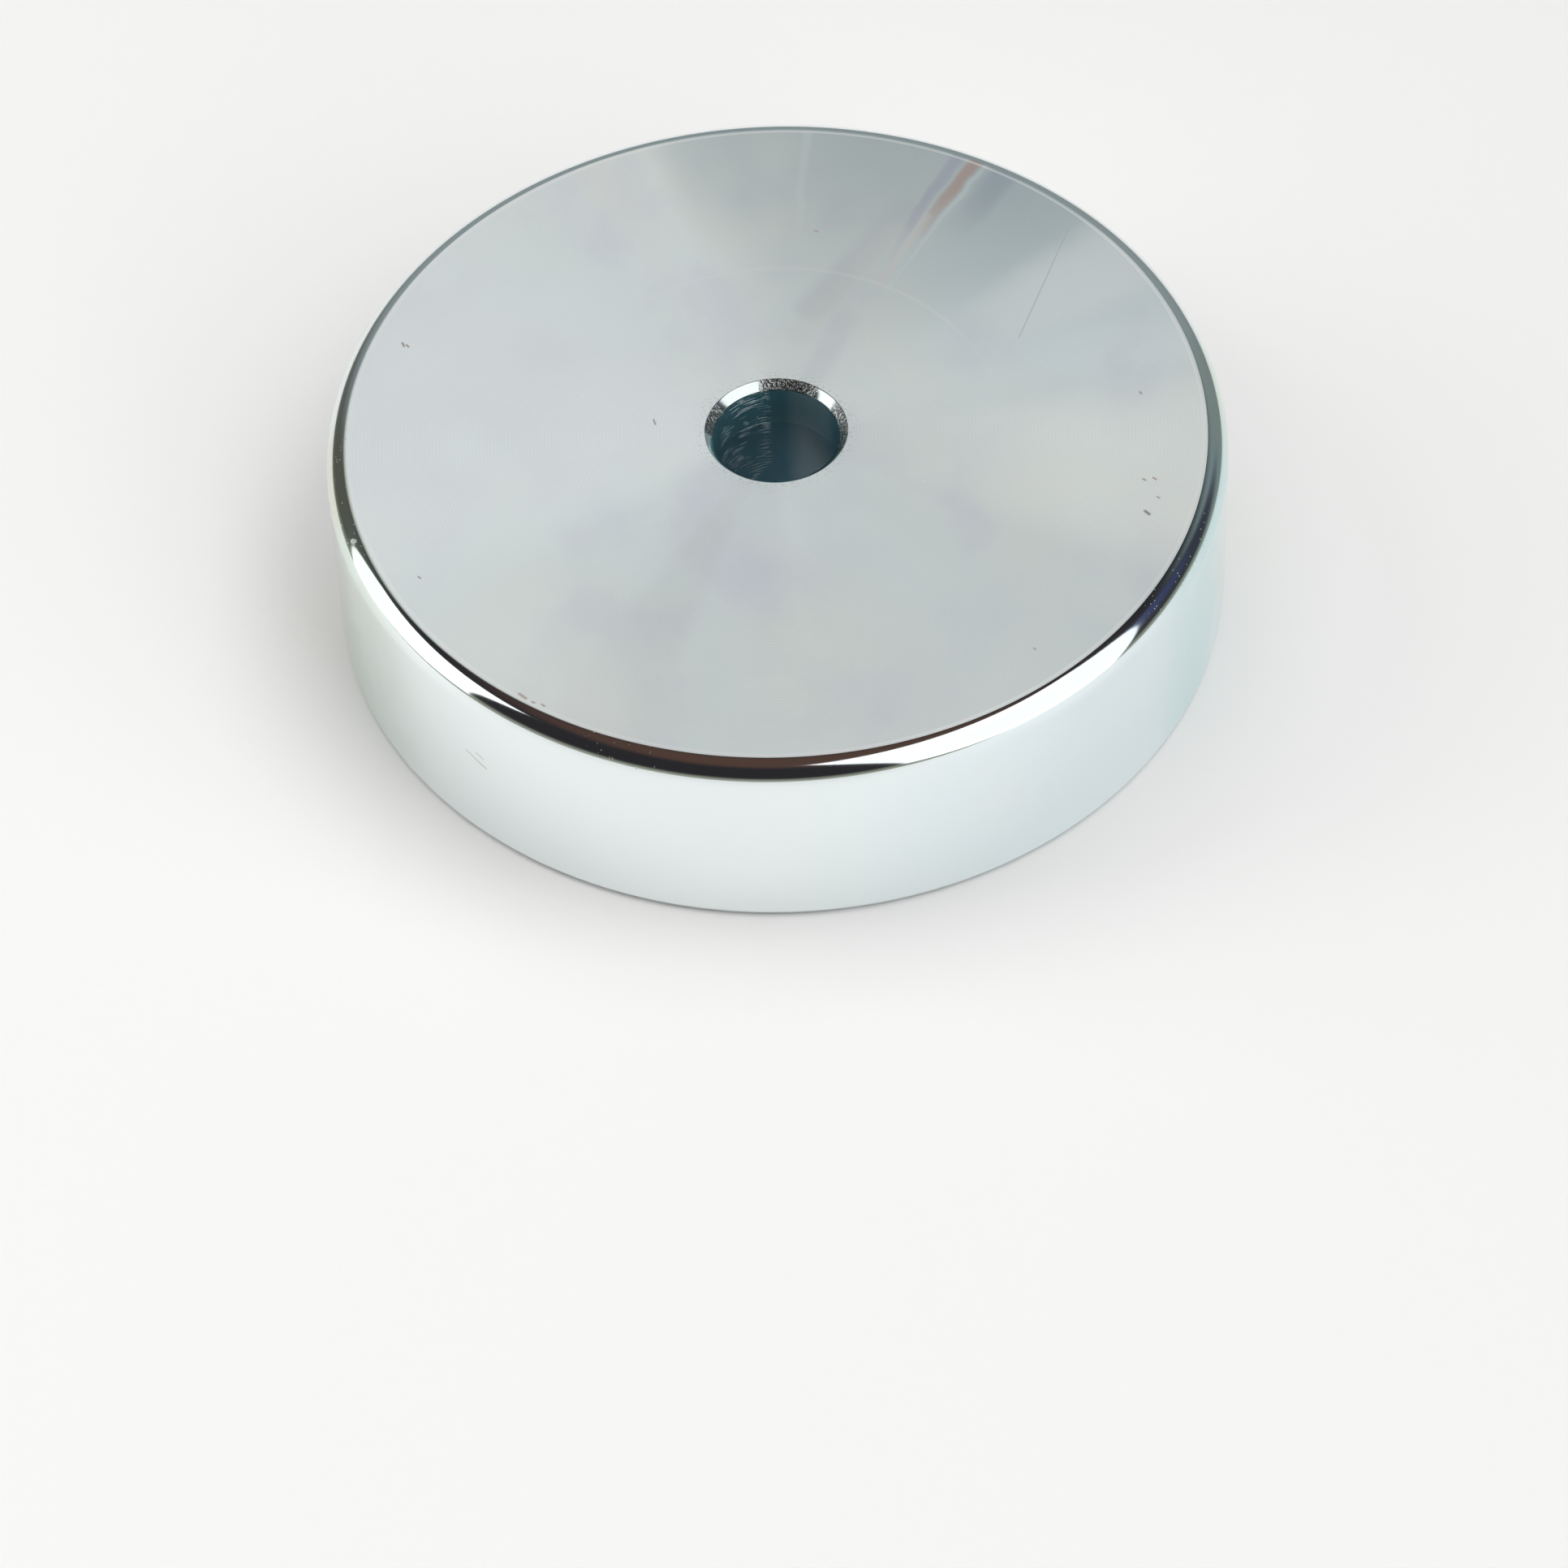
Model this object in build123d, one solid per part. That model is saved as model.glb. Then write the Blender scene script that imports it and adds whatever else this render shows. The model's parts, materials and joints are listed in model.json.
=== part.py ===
from build123d import *
from math import radians, tan
import os

# Pot magnet: a turned steel cup that lies with its open holding side down.
# The origin is the centre of the holding side, where the rim rests, and +Z
# runs up the axis to the closed back. All sizes are in millimetres.

# Steel cup
pot_diameter = 75.0
pot_height = 18.0
back_thickness = 4.5
wall_thickness = 5.0
back_edge_radius = 2.0
rim_outer_radius = 1.0
rim_inner_chamfer = 0.3
pocket_corner_chamfer = 0.6

# Screw hole through the back and the magnet, for an M10 countersunk screw
bore_diameter = 10.5
bore_back_chamfer = 0.65
countersink_diameter = 21.0
countersink_angle = 90.0

# Ring magnet, sunk a little below the rim so that the brittle face is spared
magnet_recess = 0.2
magnet_edge_chamfer = 0.3
magnet_bore_chamfer = 0.15

# Resin that fills the gap between the magnet and the wall of the cup
resin_gap = 1.5
resin_recess = 0.6
resin_sag = 0.12

# Sizes that follow from the ones above
pot_radius = pot_diameter / 2
bore_radius = bore_diameter / 2
pocket_radius = pot_radius - wall_thickness
pocket_depth = pot_height - back_thickness
magnet_radius = pocket_radius - resin_gap


def ring_section(inner_radius, outer_radius, low, high):
    """Half section of a plain ring: radius across, height up."""
    width = outer_radius - inner_radius
    shape = Rectangle(width, high - low, align=(Align.MIN, Align.MIN))
    return Pos(inner_radius, low) * shape


def corner(section, radius, height):
    """The corner of a half section that lies nearest to a radius and a height."""
    return section.vertices().sort_by_distance((radius, height, 0))[0]


def turned(section, name, colour):
    """Turn a half section about the axis into the named solid."""
    solid = revolve(Plane.XZ * section, Axis.Z)
    solid.label = name
    solid.color = colour
    return solid


def pocket_section():
    """The room inside the cup, with the corner that the turning tool leaves at its floor."""
    section = ring_section(0, pocket_radius, 0, pocket_depth)
    tool_corner = min(pocket_corner_chamfer, resin_gap)
    return chamfer(corner(section, pocket_radius, pocket_depth), tool_corner)


def steel_pot():
    """Cup turned from one bar: back plate, wall, rounded back edge and screw hole."""
    section = ring_section(0, pot_radius, 0, pot_height)
    section = fillet(corner(section, pot_radius, pot_height), back_edge_radius)
    section = fillet(corner(section, pot_radius, 0), rim_outer_radius)
    section -= pocket_section()
    section -= ring_section(0, bore_radius, 0, pot_height)
    section = chamfer(corner(section, pocket_radius, 0), rim_inner_chamfer)
    section = chamfer(corner(section, bore_radius, pot_height), bore_back_chamfer)
    return turned(section, "steel_pot", Color(0.72, 0.78, 0.80))


def countersink_section():
    """Half section of the cone that takes the screw head, open to the holding side."""
    mouth_radius = countersink_diameter / 2
    depth = (mouth_radius - bore_radius) / tan(radians(countersink_angle / 2))
    foot = (bore_radius, magnet_recess)
    mouth = (mouth_radius, magnet_recess)
    throat = (bore_radius, magnet_recess + depth)
    return make_face(Polyline(foot, mouth, throat, close=True))


def ring_magnet():
    """Ring magnet on the floor of the cup, with the screw hole and its countersink."""
    section = ring_section(bore_radius, magnet_radius, magnet_recess, pocket_depth)
    for height in (magnet_recess, pocket_depth):
        section = chamfer(corner(section, magnet_radius, height), magnet_edge_chamfer)
    section = chamfer(corner(section, bore_radius, pocket_depth), magnet_bore_chamfer)
    section -= countersink_section()
    return turned(section, "ring_magnet", Color(0.80, 0.79, 0.76))


def resin_ring():
    """Cast ring that fills the gap, with the hollow surface that resin sets to."""
    middle = (magnet_radius + pocket_radius) / 2
    inner_edge = (magnet_radius, resin_recess)
    outer_edge = (pocket_radius, resin_recess)
    surface = ThreePointArc(inner_edge, (middle, resin_recess + resin_sag), outer_edge)
    sides = Polyline(outer_edge, (pocket_radius, pocket_depth), (magnet_radius, pocket_depth), inner_edge)
    section = make_face([surface, sides]) & pocket_section()
    return turned(section, "resin_ring", Color(0.08, 0.08, 0.09))


os.makedirs("parts", exist_ok=True)
for piece in (steel_pot(), ring_magnet(), resin_ring()):
    export_step(piece, f"parts/{piece.label}.step")
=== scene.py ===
import json
from math import cos, hypot, pi, radians, sin, tan, tau

import bmesh
import bpy
from mathutils import Euler, Matrix, Vector


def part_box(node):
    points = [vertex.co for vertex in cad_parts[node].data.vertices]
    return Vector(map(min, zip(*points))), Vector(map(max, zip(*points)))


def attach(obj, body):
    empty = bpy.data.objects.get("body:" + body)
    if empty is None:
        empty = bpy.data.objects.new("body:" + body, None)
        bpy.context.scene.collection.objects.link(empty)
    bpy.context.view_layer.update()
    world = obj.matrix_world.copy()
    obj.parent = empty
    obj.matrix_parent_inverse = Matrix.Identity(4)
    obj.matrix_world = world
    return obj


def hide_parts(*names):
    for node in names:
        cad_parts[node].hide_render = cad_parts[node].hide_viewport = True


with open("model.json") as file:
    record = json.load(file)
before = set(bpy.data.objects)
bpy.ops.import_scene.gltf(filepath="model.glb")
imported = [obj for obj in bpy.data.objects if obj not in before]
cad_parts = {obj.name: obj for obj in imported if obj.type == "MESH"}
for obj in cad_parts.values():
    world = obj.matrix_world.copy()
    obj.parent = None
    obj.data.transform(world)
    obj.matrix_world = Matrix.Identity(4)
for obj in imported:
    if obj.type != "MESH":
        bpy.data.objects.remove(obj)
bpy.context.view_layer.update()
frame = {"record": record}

# Pot magnet, lying with its open holding side down and its turned steel back up.
# Meshes are made in millimetres and scaled to metres at the end of each piece.
# The camera looks from -Y, so +X is right and +Y is away from it.

MM = 0.001
MICRON = 0.000001

# Faces in a full turn, and the angle past which an edge is shaded as sharp
STEPS = 288
SHARP_ANGLE = radians(35)

# In metres: the floor lies this far under the rim, and the two lamps of a panel this far apart
FLOOR_GAP = 0.00002
PANEL_GAP = 0.01

# In millimetres: how near a vertex is to its ring, and a face to the surface it belongs to
SAME_PLACE = 0.001
MERGE_DISTANCE = 0.0001
BORE_MARGIN = 0.01
BACK_MARGIN = 0.03
RIM_MARGIN = 0.1


# Sizes in millimetres, from the frame where it has them

def frame_radius(node):
    """Outer radius of a turned node."""
    return round(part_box(node)[1].x / MM, 3)


def frame_heights(node):
    """Heights of the bottom and the top of a node."""
    low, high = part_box(node)
    return round(low.z / MM, 3), round(high.z / MM, 3)


pot_radius = frame_radius("steel_pot")
pot_height = frame_heights("steel_pot")[1]
magnet_radius = frame_radius("ring_magnet")
magnet_bottom, pocket_depth = frame_heights("ring_magnet")
pocket_radius = frame_radius("resin_ring")
resin_bottom = frame_heights("resin_ring")[0]
bore_radius = frame["record"]["mounts"][0]["dims"]["r_mm"]

# Cup
back_edge_radius = 2.0
rim_outer_radius = 1.0
rim_inner_radius = 0.3
pocket_corner_radius = 0.6
bore_chamfer = 0.65
edge_break = 0.07
wall_top = pot_height - back_edge_radius
chamfer_radius = bore_radius + bore_chamfer

# What the turning tool left on the back, and the radius of a ring painted white as a highlight
faced_radius = 35.8
facing_groove_radius = 35.3
facing_groove_width = 0.14
facing_groove_depth = 0.015
# Radius of the thin ring painted white as a highlight at the edge of the flat
edge_highlight_radius = 35.5
feed_change_radius = 18.9

# Magnet and resin
magnet_edge_radius = 0.3
magnet_bore_edge_radius = 0.05
countersink_radius = 10.5
countersink_angle = 90.0
resin_sag = 0.12
resin_sag_rounding = 0.7


# Meshes

def ring_edges(bm, radius, height):
    """The edges of the ring that lies at a radius and a height."""
    def on_ring(vertex):
        x, y, z = vertex.co
        return abs(hypot(x, y) - radius) < SAME_PLACE and abs(z - height) < SAME_PLACE
    return [e for e in bm.edges if all(on_ring(v) for v in e.verts)]


def turned_piece(name, outline, rounds, materials, region):
    """Turn an outline of (radius, height) about the axis, and round its ring edges one after another. A
    round has the radius and height of its edge, its offset and its segments. The region function gives the
    number of a face's material, from the radius and height of its middle and from its normal."""
    bm = bmesh.new()
    corners = [bm.verts.new((radius, 0, height)) for radius, height in outline]
    sides = [bm.edges.new(pair) for pair in zip(corners, corners[1:] + corners[:1])]
    bmesh.ops.spin(bm, geom=corners + sides, cent=(0, 0, 0), axis=(0, 0, 1), dvec=(0, 0, 0),
                   angle=tau, steps=STEPS, use_merge=True, use_duplicate=False)
    bmesh.ops.remove_doubles(bm, verts=bm.verts, dist=MERGE_DISTANCE)
    bmesh.ops.recalc_face_normals(bm, faces=bm.faces)
    for radius, height, offset, segments in rounds:
        bmesh.ops.bevel(bm, geom=ring_edges(bm, radius, height), offset=offset, offset_type="OFFSET",
                        segments=segments, profile=0.5, affect="EDGES", material=-1)
    for face in bm.faces:
        x, y, z = face.calc_center_median()
        face.smooth = True
        face.material_index = region(hypot(x, y), z, face.normal)
    bmesh.ops.scale(bm, vec=(MM, MM, MM), verts=bm.verts)
    mesh = bpy.data.meshes.new(name)
    bm.to_mesh(mesh)
    bm.free()
    mesh.set_sharp_from_angle(angle=SHARP_ANGLE)
    for material in materials:
        mesh.materials.append(material)
    piece = bpy.data.objects.new(name, mesh)
    bpy.context.scene.collection.objects.link(piece)

    # Keeps the flats evenly lit up to their rounded edges
    flats = piece.modifiers.new("flats_stay_flat", "WEIGHTED_NORMAL")
    flats.mode = "FACE_AREA"
    flats.weight = 100
    flats.keep_sharp = True
    return piece


# Materials

def linear(code):
    """Linear colour of an sRGB hex code."""
    parts = [int(code[i:i + 2], 16) / 255 for i in (1, 3, 5)]
    return (*(p / 12.92 if p <= 0.04045 else ((p + 0.055) / 1.055) ** 2.4 for p in parts), 1.0)


def add(tree, kind, inputs=(), output=0, **settings):
    """Add a node with its settings, and give each of its inputs a value or another node's output. Returns
    one output of the new node."""
    new = tree.nodes.new(kind)
    for name, value in settings.items():
        setattr(new, name, value)
    for socket, value in dict(inputs).items():
        if isinstance(value, bpy.types.NodeSocket):
            tree.links.new(value, new.inputs[socket])
        else:
            new.inputs[socket].default_value = value
    return new.outputs[output] if new.outputs else new


def direction(azimuth, elevation):
    """Unit vector, from degrees: azimuth from the camera's side towards the right, and elevation."""
    a, e = radians(azimuth), radians(elevation)
    return Vector((sin(a) * cos(e), -cos(a) * cos(e), sin(e)))


def new_material(name):
    """Material without nodes, and its node tree."""
    material = bpy.data.materials.new(name)
    material.use_nodes = True
    material.node_tree.nodes.clear()
    return material, material.node_tree


def finish_material(tree, settings, microns=None):
    """Give the material its surface, raised by a pattern in microns if there is one."""
    if microns is not None:
        bump = add(tree, "ShaderNodeBump", {"Height": microns, "Strength": 1.0, "Distance": MICRON})
        settings = {**settings, "Normal": bump}
    surface = add(tree, "ShaderNodeBsdfPrincipled", settings)
    add(tree, "ShaderNodeOutputMaterial", {"Surface": surface})


def place_in_mm(tree):
    """Object coordinates in millimetres."""
    place = add(tree, "ShaderNodeTexCoord", output="Object")
    return add(tree, "ShaderNodeVectorMath", {0: place, "Scale": 1 / MM}, operation="SCALE")


def axis_distance(tree, place):
    """Distance of a place from the axis."""
    across = add(tree, "ShaderNodeVectorMath", {0: place, 1: (1, 1, 0)}, operation="MULTIPLY")
    return add(tree, "ShaderNodeVectorMath", {0: across}, "Value", operation="LENGTH")


def outward(tree, place):
    """Unit vector that points away from the axis at a place."""
    across = add(tree, "ShaderNodeVectorMath", {0: place, 1: (1, 1, 0)}, operation="MULTIPLY")
    return add(tree, "ShaderNodeVectorMath", {0: across}, operation="NORMALIZE")


def noise(tree, place, size, stretch=(1, 1, 1), detail=2.0):
    """Noise whose patches are about size millimetres wide, made longer or shorter by stretch."""
    scales = tuple(1 / (size * s) for s in stretch)
    spread = add(tree, "ShaderNodeVectorMath", {0: place, 1: scales}, operation="MULTIPLY")
    return add(tree, "ShaderNodeTexNoise", {"Vector": spread, "Scale": 1.0, "Detail": detail})


def fade(tree, value, zero_at, full_at):
    """Share that rises smoothly from 0 to 1 between two values."""
    return add(tree, "ShaderNodeMapRange", {0: value, 1: zero_at, 2: full_at},
               interpolation_type="SMOOTHSTEP")


def product(tree, *factors):
    """Product of all the factors. Of shares, it is the share where all of them are."""
    result = factors[0]
    for factor in factors[1:]:
        result = add(tree, "ShaderNodeMath", {0: result, 1: factor}, operation="MULTIPLY")
    return result


def thin_ring(tree, radius, middle, half_width, half_crest=0.0):
    """Share of a thin ring about the axis: 1 on its crest, 0 half its width away."""
    rising = fade(tree, radius, middle - half_width, middle - half_crest)
    falling = fade(tree, radius, middle + half_width, middle + half_crest)
    return product(tree, rising, falling)


def strongest(tree, *shares):
    """The largest of the shares at each place."""
    result = shares[0]
    for share in shares[1:]:
        result = add(tree, "ShaderNodeMath", {0: result, 1: share}, operation="MAXIMUM")
    return result


def tinted(tree, colour, tint, *shares):
    """The colour, turned towards a tint by the product of the shares."""
    share = product(tree, *shares)
    return add(tree, "ShaderNodeMix", {0: share, 6: colour, 7: linear(tint)}, 2, data_type="RGBA")


def uneven_gloss(tree, pattern, low, high):
    """Roughness that runs from low to high with the middle range of a noise pattern."""
    return add(tree, "ShaderNodeMapRange", {0: pattern, 1: 0.3, 2: 0.7, 3: low, 4: high})


def mark(tree, place, start, end, width):
    """Share of a short straight mark: 1 on its line, 0 half its width away."""
    run = Vector(end) - Vector(start)
    heading = run.normalized()
    offset = add(tree, "ShaderNodeVectorMath", {0: place, 1: start}, operation="SUBTRACT")
    along = add(tree, "ShaderNodeVectorMath", {0: offset, 1: heading}, "Value", operation="DOT_PRODUCT")
    along = add(tree, "ShaderNodeClamp", {0: along, 1: 0.0, 2: run.length})
    nearest = add(tree, "ShaderNodeVectorMath", {0: heading, "Scale": along}, operation="SCALE")
    gap = add(tree, "ShaderNodeVectorMath", {0: offset, 1: nearest}, "Value", operation="DISTANCE")
    return fade(tree, gap, width / 2, width / 8)


def sector(tree, radial, azimuth, half_width):
    """Share of a sector about the axis, strongest at its azimuth."""
    near = add(tree, "ShaderNodeVectorMath", {0: radial, 1: direction(azimuth, 0)}, "Value",
               operation="DOT_PRODUCT")
    return fade(tree, near, cos(radians(half_width)), 1.0)


def turned_face():
    """Faced steel, zinc plated with a clear blue passivation: fine turning rings under a satin film, so
    that each light is drawn out into soft sectors, with faint cream, blue and lilac patches where the film
    varies. Broad sectors are also painted lighter and darker, as painted light and painted shade. A thin
    ring at the edge is painted white as a painted highlight, and a faint ring is painted lighter on its far
    half as a painted sheen."""
    material, tree = new_material("blue_passivated_zinc_on_turned_face")
    place = place_in_mm(tree)
    radius = axis_distance(tree, place)
    radial = outward(tree, place)

    # The film turns from bluish to cream in patches of about 22 mm, and to lilac in patches of about 9 mm
    film = fade(tree, noise(tree, place, 22), 0.3, 0.7)
    colour = tinted(tree, linear("#E5EEF0"), "#E8EEEA", film)
    lilac = fade(tree, noise(tree, place, 9, (1.0, 1.4, 1.0), detail=3.0), 0.42, 0.75)
    colour = tinted(tree, colour, "#DADFE8", lilac, 0.7)

    # Streaks and sectors on the back: azimuth and half width of the sector in degrees, radii in millimetres
    # where it starts and where it is full, tint, and share of the tint. They waver a little, over about 5
    # mm. The broad grey sectors at 150, 139, -172, -26 and 30 degrees are painted shade, and the broad pale
    # sectors at -98, -36, 78 and 122 degrees are painted light, where the turning rings draw the lamps out
    # into sectors. The narrow streaks and the beige patch at -155 degrees are tints of the film.
    sway_angle = 0.04
    streaks = [
        (150, 48, 0, 42, "#AEBCBF", 0.8),
        (139, 12, 14, 36, "#AFBFC4", 0.4),
        (145, 3, 26, 34, "#98A4B2", 0.45),
        (148.3, 0.5, 14, 24, "#DCE6E8", 0.3),
        (149.9, 1.3, 23, 33, "#B79C92", 0.75),
        (152.4, 1.3, 20, 31, "#A8A9BE", 0.5),
        (174, 1.0, 20, 30, "#DCE6EA", 0.3),
        (-172, 10, 18, 36, "#BAC7CA", 0.5),
        (-155, 5, 12, 30, "#EAE8E2", 0.3),
        (-98, 48, 0, 8, "#F8FEFF", 0.85),
        (-26, 9, 2, 12, "#D6DBD9", 0.3),
        (-36, 22, 20, 34, "#F4F8F6", 0.5),
        (30, 26, 0, 10, "#D6DFDF", 0.6),
        (78, 22, 8, 26, "#FAFEFA", 0.8),
        (122, 10, 14, 30, "#F4F8F6", 0.4),
    ]
    waver = noise(tree, place, 5, detail=3.0)
    sway = add(tree, "ShaderNodeMath", {0: waver, 1: sway_angle, 2: -sway_angle / 2},
               operation="MULTIPLY_ADD")
    swaying = add(tree, "ShaderNodeVectorRotate", {"Vector": radial, "Angle": sway},
                  rotation_type="Z_AXIS")
    height = add(tree, "ShaderNodeSeparateXYZ", {0: place}, 2)
    on_back = fade(tree, height, pocket_depth, pot_height)
    # Each entry tints the back: the narrow ones as film streaks, the broad ones as painted light and
    # painted shade
    for azimuth, half_width, start, full, tint, share in streaks:
        across = sector(tree, swaying, azimuth, half_width)
        along = fade(tree, radius, start, full)
        colour = tinted(tree, colour, tint, across, along, on_back, share)

    # Soft straight stains in the film, on the far side of the hole: both ends, width, tint and its share
    stains = [
        ((11.7, 25.2), (3.4, 14.0), 4.2, "#BAC2C8", 0.3),
        ((10.6, 22.5), (2.4, 10.8), 3.6, "#DCDCDA", 0.3),
        ((13.6, 24.5), (9.2, 16.6), 1.2, "#DCD8D4", 0.4),
        ((6.2, 12.6), (3.4, 6.4), 3.4, "#C2C6D0", 0.18),
    ]
    for start, end, width, tint, share in stains:
        here = mark(tree, place, (*start, pot_height), (*end, pot_height), width)
        colour = tinted(tree, colour, tint, here, share)

    # The feed changed here, which left a faint ring. It is painted lighter only on the far half, as a
    # painted sheen where the ring catches the light.
    feed_ring_and_sheen = thin_ring(tree, radius, feed_change_radius, 0.3)
    colour = tinted(tree, colour, "#F2F4F2", feed_ring_and_sheen, sector(tree, radial, 165, 85), 0.18)

    # A thin ring where the flat meets the rounded edge is painted white, as a painted highlight
    painted_edge_highlight = thin_ring(tree, radius, edge_highlight_radius, 0.15, half_crest=0.05)
    colour = tinted(tree, colour, "#FFFFFF", painted_edge_highlight, 0.45)

    # Torn grains of about 0.2 mm round the hole
    grain = fade(tree, noise(tree, place, 0.22), 0.56, 0.66)
    near_hole = fade(tree, radius, chamfer_radius + 1.5, chamfer_radius)
    colour = tinted(tree, colour, "#8E9092", grain, near_hole, 0.35)

    # Specks and a long fine scratch, at their places on the back: both ends, width and tint
    marks = [
        ((-31.15, 11.75), (-31.00, 11.35), 0.30, "#9A7E78"),
        ((-30.80, 11.50), (-30.62, 11.25), 0.26, "#9A7E78"),
        ((-10.15, 1.75), (-10.02, 1.20), 0.22, "#83878A"),
        ((29.95, -10.70), (30.25, -11.05), 0.42, "#77706A"),
        ((30.00, -7.10), (30.20, -7.25), 0.26, "#B08E7C"),
        ((30.85, -7.00), (31.05, -7.20), 0.26, "#B08E7C"),
        ((31.05, -9.15), (31.20, -9.30), 0.24, "#9C9890"),
        ((30.36, 2.80), (30.48, 2.60), 0.26, "#A9938C"),
        ((-29.60, -14.90), (-29.45, -15.05), 0.26, "#8A8C8C"),
        ((20.05, -25.20), (20.18, -25.36), 0.22, "#9FA3A4"),
        ((11.90, -6.35), (12.02, -6.45), 0.24, "#F4F6F2"),
        ((3.95, 23.2), (4.15, 23.1), 0.30, "#C9A992"),
        ((25.60, 22.50), (20.65, 9.62), 0.15, "#BCC0C6"),
        ((-21.4, -28.0), (-20.9, -28.5), 0.40, "#B7A498"),
        ((-20.4, -28.9), (-20.2, -29.0), 0.26, "#AC988A"),
        ((-19.6, -29.2), (-19.4, -29.4), 0.30, "#B7A498"),
    ]
    for start, end, width, tint in marks:
        here = mark(tree, place, (*start, pot_height), (*end, pot_height), width)
        colour = tinted(tree, colour, tint, here, 0.75)

    # The real feed is about 0.15 mm a turn. It is drawn at 0.3 mm, so that it shows as lines. The cut is
    # uneven from one millimetre to the next, and its gloss varies over about 6 mm.
    drawn_feed = 0.3
    turn = add(tree, "ShaderNodeMath", {0: product(tree, radius, tau / drawn_feed)}, operation="SINE")
    uneven = product(tree, noise(tree, radius, 1.1, detail=3.0), 1.5)
    depth = add(tree, "ShaderNodeMath", {0: turn, 1: 0.2, 2: uneven}, operation="MULTIPLY_ADD")
    colour = tinted(tree, colour, "#98A4AA", fade(tree, turn, 0.0, 1.0), 0.05)
    gloss = uneven_gloss(tree, noise(tree, place, 6, detail=4.0), 0.31, 0.35)
    finish_material(tree, {"Base Color": colour, "Metallic": 0.6, "Roughness": gloss,
                           "Anisotropic": 0.85, "Tangent": radial}, depth)
    return material


def bright_wall():
    """Finely turned steel under bright zinc: mirrors its surroundings a little unevenly, with a film that
    is green and peach on the left and cyan and green on the right, and pits that catch the light on the
    rounded edge."""
    material, tree = new_material("blue_passivated_zinc_on_bright_wall")
    place = place_in_mm(tree)
    radial = outward(tree, place)

    # Film colours: azimuth and half width of the sector in degrees, tint, and share of the tint. Each
    # comes in patches of about 10 mm.
    colour = linear("#EFF6F6")
    films = [
        (52, 60, "#EAF5F8", 0.9),
        (-76, 26, "#D6E4D8", 0.7),
        (-86, 12, "#E8DCCC", 0.4),
        (74, 22, "#D0EAEB", 0.75),
        (94, 14, "#DCEBDF", 0.7),
    ]
    uneven = fade(tree, noise(tree, place, 10, detail=3.0), 0.15, 0.5)
    for azimuth, half_width, tint, share in films:
        colour = tinted(tree, colour, tint, sector(tree, radial, azimuth, half_width), uneven, share)

    # Small marks on the left front of the wall and on the right of the edge: both ends, width and tint
    marks = [
        ((-26.10, -26.85, 10.1), (-24.60, -28.30, 9.3), 0.26, "#A9B4B4"),
        ((-25.30, -27.65, 10.6), (-24.75, -28.15, 10.3), 0.22, "#B9C2C2"),
        ((33.25, 12.1, 17.9), (33.75, 12.0, 17.7), 0.45, "#CFCDB8"),
    ]
    for start, end, width, tint in marks:
        colour = tinted(tree, colour, tint, mark(tree, place, start, end, width), 0.8)
    height = add(tree, "ShaderNodeSeparateXYZ", {0: place}, 2)

    # Pits of about 0.15 mm, on the right front and the left of the rounded edge
    pit = add(tree, "ShaderNodeTexVoronoi", {"Vector": place, "Scale": 2.2}, "Distance")
    pit = fade(tree, pit, 0.18, 0.08)
    pitted = strongest(tree, sector(tree, radial, 66, 16), sector(tree, radial, -82, 15))
    pits = product(tree, pit, pitted, fade(tree, height, wall_top, wall_top + 0.4))

    # Rubs of 0.3 by 1.5 mm on the left front of the rounded edge, and a chip on its left
    rub = fade(tree, noise(tree, place, 0.3, (1, 1, 5)), 0.64, 0.74)
    rubbed = sector(tree, radial, -21, 7)
    rubs = product(tree, rub, rubbed, fade(tree, height, wall_top + 0.2, wall_top + 0.8))
    chip = mark(tree, place, (-35.1, -10.35, 17.73), (-34.9, -10.5, 17.8), 0.55)
    gloss = add(tree, "ShaderNodeMapRange", {0: strongest(tree, pits, rubs, chip), 3: 0.07, 4: 0.55})

    # Feed marks run round the wall, 0.5 mm apart, and are drawn as they are. The wall under them has low
    # waves of 5 by 10 mm, which bend what it mirrors.
    turn = product(tree, noise(tree, place, 0.5, (60, 60, 1), detail=3.0), 0.8)
    waves = noise(tree, place, 5, (1, 1, 2))
    depth = add(tree, "ShaderNodeMath", {0: waves, 1: 4.0, 2: turn}, operation="MULTIPLY_ADD")
    finish_material(tree, {"Base Color": colour, "Metallic": 1.0, "Roughness": gloss}, depth)
    return material


def cut_chamfer():
    """Chamfer cut with a chattering countersink and plated: bright, with torn grains that glitter."""
    material, tree = new_material("zinc_on_cut_chamfer")
    place = place_in_mm(tree)
    radial = outward(tree, place)

    # Azimuth and half width of the sectors where the tool tore the steel. The grains are about 0.2 mm wide,
    # and are drawn higher than they are, so that they glitter at the size of the picture.
    torn_sectors = [(168, 30), (92, 36), (-107, 20)]
    torn = strongest(tree, *(sector(tree, radial, *limits) for limits in torn_sectors))
    torn = fade(tree, torn, 0.05, 0.5)
    grain = noise(tree, place, 0.22, detail=3.0)
    dulled = fade(tree, grain, 0.62, 0.50)
    colour = tinted(tree, linear("#E6EFEE"), "#5E5C5A", torn, dulled, 0.75)
    raised = add(tree, "ShaderNodeMath", {0: grain, 1: 0.5}, operation="SUBTRACT")
    depth = product(tree, raised, torn, 110.0)
    finish_material(tree, {"Base Color": colour, "Metallic": 1.0, "Roughness": 0.14}, depth)
    return material


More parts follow.
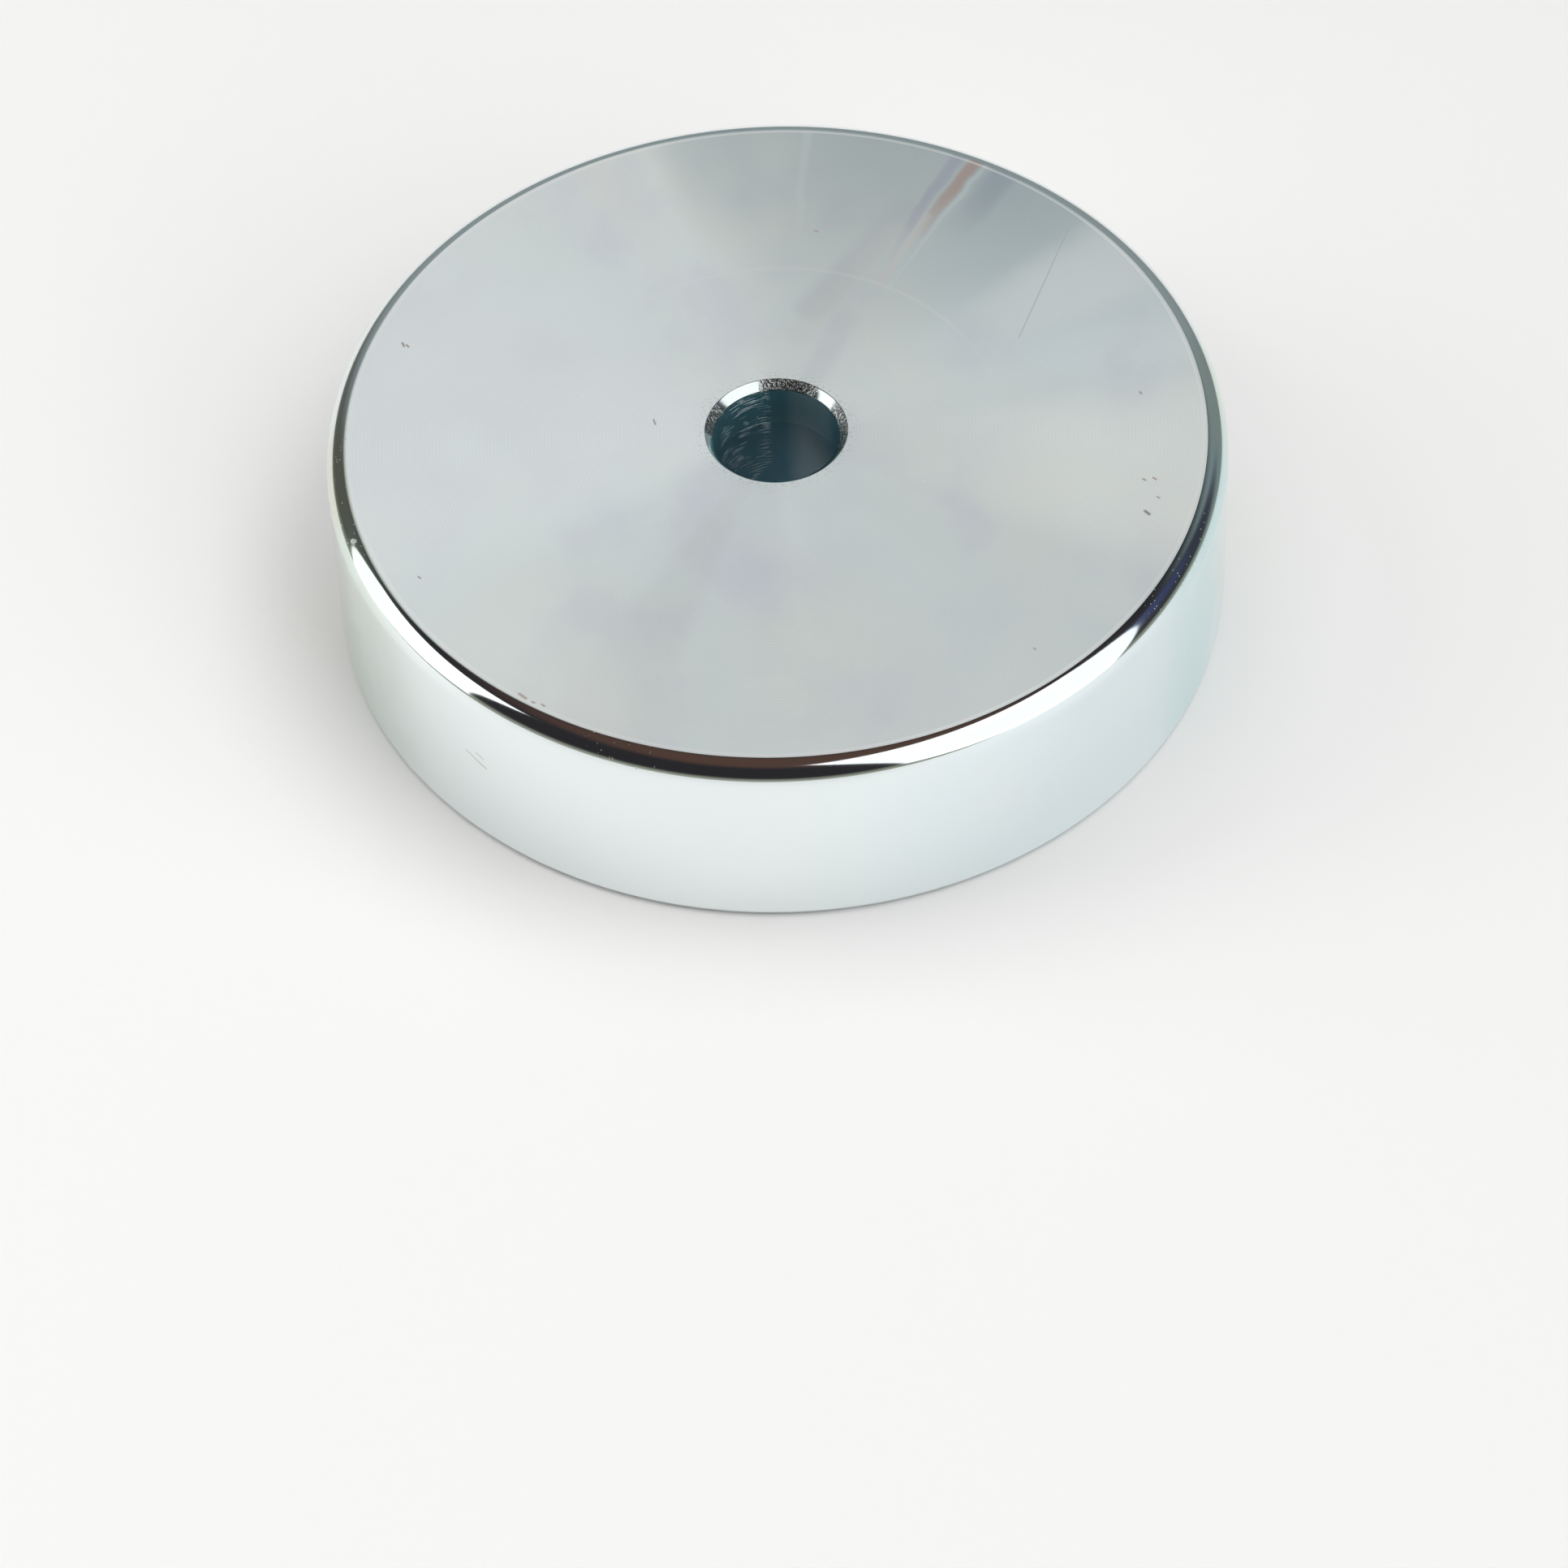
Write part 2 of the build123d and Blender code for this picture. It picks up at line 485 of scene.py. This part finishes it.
def drilled_hole(name, tint, streak_tint):
    """Wall of a drilled hole under a thick teal film: dark and satin, with short tool streaks on one side
    that catch the light."""
    material, tree = new_material(name)
    place = place_in_mm(tree)
    radial = outward(tree, place)

    # Streaks of 0.16 by 1.3 mm, in patches of about 1.6 mm where the tool scored the wall
    streak = fade(tree, noise(tree, place, 0.16, (8, 8, 1)), 0.54, 0.59)
    patch = fade(tree, noise(tree, place, 1.6), 0.40, 0.55)
    scored = fade(tree, sector(tree, radial, -146, 34), 0.05, 0.4)
    streaks = product(tree, streak, patch, scored)
    # The wall is tinted halfway to the streak tint on the far right side of the hole
    lighter_far_right = sector(tree, radial, 142, 32)
    colour = tinted(tree, linear(tint), streak_tint, streaks)
    colour = tinted(tree, colour, streak_tint, lighter_far_right, 0.5)
    gloss = add(tree, "ShaderNodeMapRange", {0: streaks, 3: 0.3, 4: 0.55})
    depth = product(tree, streaks, 30.0)
    finish_material(tree, {"Base Color": colour, "Metallic": 0.85, "Roughness": gloss}, depth)
    return material


def nickel_magnet():
    """Sintered neodymium, barrel plated with nickel: bright warm silver with a faint orange peel."""
    material, tree = new_material("nickel_on_sintered_magnet")
    place = place_in_mm(tree)

    # Clouds of about 8 mm, gloss that varies over 3 mm, and an orange peel of 0.6 mm
    cloud = fade(tree, noise(tree, place, 8, detail=4.0), 0.35, 0.65)
    colour = tinted(tree, linear("#DEDAD2"), "#D5D3CF", cloud)
    gloss = uneven_gloss(tree, noise(tree, place, 3, detail=4.0), 0.13, 0.22)
    depth = product(tree, noise(tree, place, 0.6, detail=3.0), 5.0)
    finish_material(tree, {"Base Color": colour, "Metallic": 1.0, "Roughness": gloss}, depth)
    return material


def cast_resin():
    """Cast black epoxy: glossy black, with a faint ripple and dust set in its surface."""
    material, tree = new_material("cast_black_epoxy")
    place = place_in_mm(tree)

    # The dust is finer than 0.1 mm. It is drawn at 0.4 mm, so that it shows. The ripples are 2 mm wide.
    dust = fade(tree, noise(tree, place, 0.4, detail=3.0), 0.62, 0.75)
    colour = tinted(tree, linear("#0E0E10"), "#2C2C2E", dust)
    gloss = uneven_gloss(tree, noise(tree, place, 2.5, detail=3.0), 0.08, 0.2)
    depth = product(tree, noise(tree, place, 2.0), 25.0)
    finish_material(tree, {"Base Color": colour, "Roughness": gloss, "IOR": 1.55}, depth)
    return material


# Pieces

def steel_pot():
    """Turned cup: faced back, bright wall, and the screw hole with its cut chamfer."""
    groove = facing_groove_radius
    outline = [
        (bore_radius, pocket_depth),
        (bore_radius, pot_height),
        (groove, pot_height),
        (groove + facing_groove_width / 2, pot_height - facing_groove_depth),
        (groove + facing_groove_width, pot_height),
        (pot_radius, pot_height),
        (pot_radius, 0),
        (pocket_radius, 0),
        (pocket_radius, pocket_depth),
    ]
    rounds = [
        (pot_radius, pot_height, back_edge_radius, 12),
        (pot_radius, 0, rim_outer_radius, 8),
        (pocket_radius, 0, rim_inner_radius, 3),
        (pocket_radius, pocket_depth, pocket_corner_radius, 4),
        (bore_radius, pot_height, bore_chamfer, 1),
        (chamfer_radius, pot_height, edge_break, 2),
        (bore_radius, pot_height - bore_chamfer, edge_break, 2),
    ]
    bore_finish = drilled_hole("zinc_in_drilled_bore", "#7AB2BE", "#EEFAFB")
    materials = [turned_face(), bright_wall(), cut_chamfer(), bore_finish]
    face, wall, chamfer, bore = range(len(materials))
    chamfer_foot = pot_height - bore_chamfer - edge_break
    flat_slope, rim_slope = 0.99, 0.975

    def region(radius, height, normal):
        if radius < bore_radius + BORE_MARGIN and height < chamfer_foot:
            return bore
        if radius < chamfer_radius + edge_break and height > chamfer_foot:
            return chamfer if normal.z < flat_slope else face
        on_back = radius < faced_radius and height > pot_height - BACK_MARGIN
        on_rim = abs(normal.z) > rim_slope and height < RIM_MARGIN
        return face if on_back or on_rim else wall

    return turned_piece("plated_steel_pot", outline, rounds, materials, region)


def ring_magnet():
    """Ring magnet, with the screw hole and the countersink for the screw's head."""
    throat = magnet_bottom + (countersink_radius - bore_radius) / tan(radians(countersink_angle / 2))
    outline = [
        (countersink_radius, magnet_bottom),
        (magnet_radius, magnet_bottom),
        (magnet_radius, pocket_depth),
        (bore_radius, pocket_depth),
        (bore_radius, throat),
    ]
    rounds = [
        (magnet_radius, magnet_bottom, magnet_edge_radius, 4),
        (magnet_radius, pocket_depth, magnet_edge_radius, 4),
        (bore_radius, pocket_depth, magnet_bore_edge_radius, 3),
        (countersink_radius, magnet_bottom, magnet_bore_edge_radius, 3),
        (bore_radius, throat, magnet_bore_edge_radius, 3),
    ]
    materials = [nickel_magnet(), drilled_hole("nickel_in_magnet_bore", "#73A4B8", "#D8E6EC")]
    nickel, bore = range(len(materials))

    def region(radius, height, normal):
        return bore if radius < bore_radius + BORE_MARGIN else nickel

    return turned_piece("nickel_ring_magnet", outline, rounds, materials, region)


def resin_ring():
    """Ring of resin between the magnet and the cup, with the hollow surface that it sets to."""
    middle = (magnet_radius + pocket_radius) / 2
    crest = resin_bottom + 2 * resin_sag
    outline = [
        (magnet_radius, resin_bottom),
        (middle, crest),
        (pocket_radius, resin_bottom),
        (pocket_radius, pocket_depth),
        (magnet_radius, pocket_depth),
    ]
    rounds = [
        (middle, crest, resin_sag_rounding, 8),
        (pocket_radius, pocket_depth, pocket_corner_radius, 4),
    ]
    return turned_piece("cast_resin_ring", outline, rounds, [cast_resin()], lambda *face: 0)


pot = steel_pot()
magnet = ring_magnet()
resin = resin_ring()
for piece, node, slot in (
    (pot, "steel_pot", "zinc_plated_steel"),
    (magnet, "ring_magnet", "nickel_plated_magnet"),
    (resin, "resin_ring", "potting_resin"),
):
    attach(piece, "root")
    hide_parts(node)


# Floor

def pale_floor():
    """Matt painted board: pale and even, so that it shows nothing but soft shadows."""
    material, tree = new_material("matt_white_board")
    finish_material(tree, {"Base Color": linear("#EFEFEE"), "Roughness": 0.6})
    return material


def floor_board():
    """Wide board just below the rim, so that the two flats don't lie in one plane."""
    bm = bmesh.new()
    bmesh.ops.create_grid(bm, x_segments=1, y_segments=1, size=3.0)
    bmesh.ops.translate(bm, vec=(0, 0, -FLOOR_GAP), verts=bm.verts)
    mesh = bpy.data.meshes.new("floor_board")
    bm.to_mesh(mesh)
    bm.free()
    mesh.materials.append(pale_floor())
    board = bpy.data.objects.new("floor_board", mesh)
    bpy.context.scene.collection.objects.link(board)


# Light

def softbox(name, azimuth, elevation, roll, distance, across, up, mirrored, unmirrored):
    """Panel square to a direction. It reaches from across[0] to across[1] and from up[0] to up[1] metres.
    Gloss mirrors only one part of its light, so that the metal keeps its detail where it faces the panel.
    The two parts lie 1 cm apart, because lamps in one place take light from each other."""
    turn = Euler((radians(90 - elevation), 0, radians(azimuth))).to_matrix().to_4x4()
    parts = (("mirrored", mirrored, 0.0), ("unmirrored", unmirrored, PANEL_GAP))
    for part, radiance, setback in parts:
        if radiance == 0:
            continue
        light = bpy.data.lights.new(f"{name}_{part}", "AREA")
        light.shape = "RECTANGLE"
        light.size = across[1] - across[0]
        light.size_y = up[1] - up[0]
        light.energy = radiance * pi * light.size * light.size_y
        lamp = bpy.data.objects.new(f"{name}_{part}", light)
        middle = Matrix.Translation((sum(across) / 2, sum(up) / 2, distance + setback))
        lamp.matrix_world = turn @ Matrix.Rotation(radians(roll), 4, "Z") @ middle
        lamp.visible_glossy = part == "mirrored"
        bpy.context.scene.collection.objects.link(lamp)


def studio_walls():
    """Dim room: a soft spot for each wall that the metal mirrors, over a dark ceiling."""
    world = bpy.data.worlds.new("studio")
    bpy.context.scene.world = world
    world.use_nodes = True
    tree = world.node_tree
    tree.nodes.clear()
    ray = add(tree, "ShaderNodeTexCoord", output="Object")

    # Lighter towards the horizon
    height = add(tree, "ShaderNodeSeparateXYZ", {0: ray}, 2)
    glow = add(tree, "ShaderNodeMapRange", {0: height, 1: 0.34, 2: -0.02},
               interpolation_type="SMOOTHERSTEP")
    colour = tinted(tree, linear("#2C2A2D"), "#9A9C8E", glow)

    # Walls: azimuth and elevation of the middle, angles from it where the tone is full and where it ends,
    # and tone
    walls = [
        (180, 90, 4, 36, "#543F38"),
        (-138, 24, 8, 34, "#5A5C58"),
        (140, 20, 10, 36, "#83898B"),
        (180, 20, 10, 38, "#8B9395"),
        (-170, 47, 8, 19, "#D0D3D2"),
        (108, 30, 6, 26, "#3E3C46"),
        (102, 40, 3, 16, "#3F4362"),
    ]
    for azimuth, elevation, inner, outer, tint in walls:
        near = add(tree, "ShaderNodeVectorMath", {0: ray, 1: direction(azimuth, elevation)}, "Value",
                   operation="DOT_PRODUCT")
        limits = {1: cos(radians(outer)), 2: cos(radians(inner))}
        share = add(tree, "ShaderNodeMapRange", {0: near, **limits}, interpolation_type="SMOOTHERSTEP")
        colour = tinted(tree, colour, tint, share)
    background = add(tree, "ShaderNodeBackground", {0: colour, 1: 1.0})
    add(tree, "ShaderNodeOutputWorld", {0: background})


floor_board()
softbox("right_softbox", azimuth=79.7, elevation=25.4, roll=-22.6, distance=0.9,
        across=(-1.10, 0.08), up=(-0.62, 1.134), mirrored=1.15, unmirrored=0.6)
softbox("left_softbox", azimuth=-97.7, elevation=16.1, roll=12.5, distance=0.5,
        across=(-0.129, 0.232), up=(-0.13, 0.372), mirrored=1.25, unmirrored=1.0)
softbox("overhead_softbox", azimuth=0, elevation=90, roll=0, distance=0.9,
        across=(-0.6, 0.6), up=(-0.6, 0.6), mirrored=0, unmirrored=1.2)
studio_walls()


# Camera

def photo_camera():
    """Long lens at the photograph's place: it looks down at a point a little in front of the object."""
    camera = bpy.data.cameras.new("camera")
    camera.sensor_width = 36.0
    camera.lens = 151.86
    camera.clip_end = 20.0
    holder = bpy.data.objects.new("camera", camera)
    place = Vector((0.0, -0.37805, 0.41690))
    aim = Vector((-0.00048, -0.02323, 0.0))
    roll = Matrix.Rotation(radians(-2.25), 4, "Z")
    look = (aim - place).to_track_quat("-Z", "Y").to_matrix().to_4x4()
    holder.matrix_world = Matrix.Translation(place) @ look @ roll
    bpy.context.scene.collection.objects.link(holder)
    bpy.context.scene.camera = holder


photo_camera()
bpy.context.scene.view_settings.view_transform = "Standard"
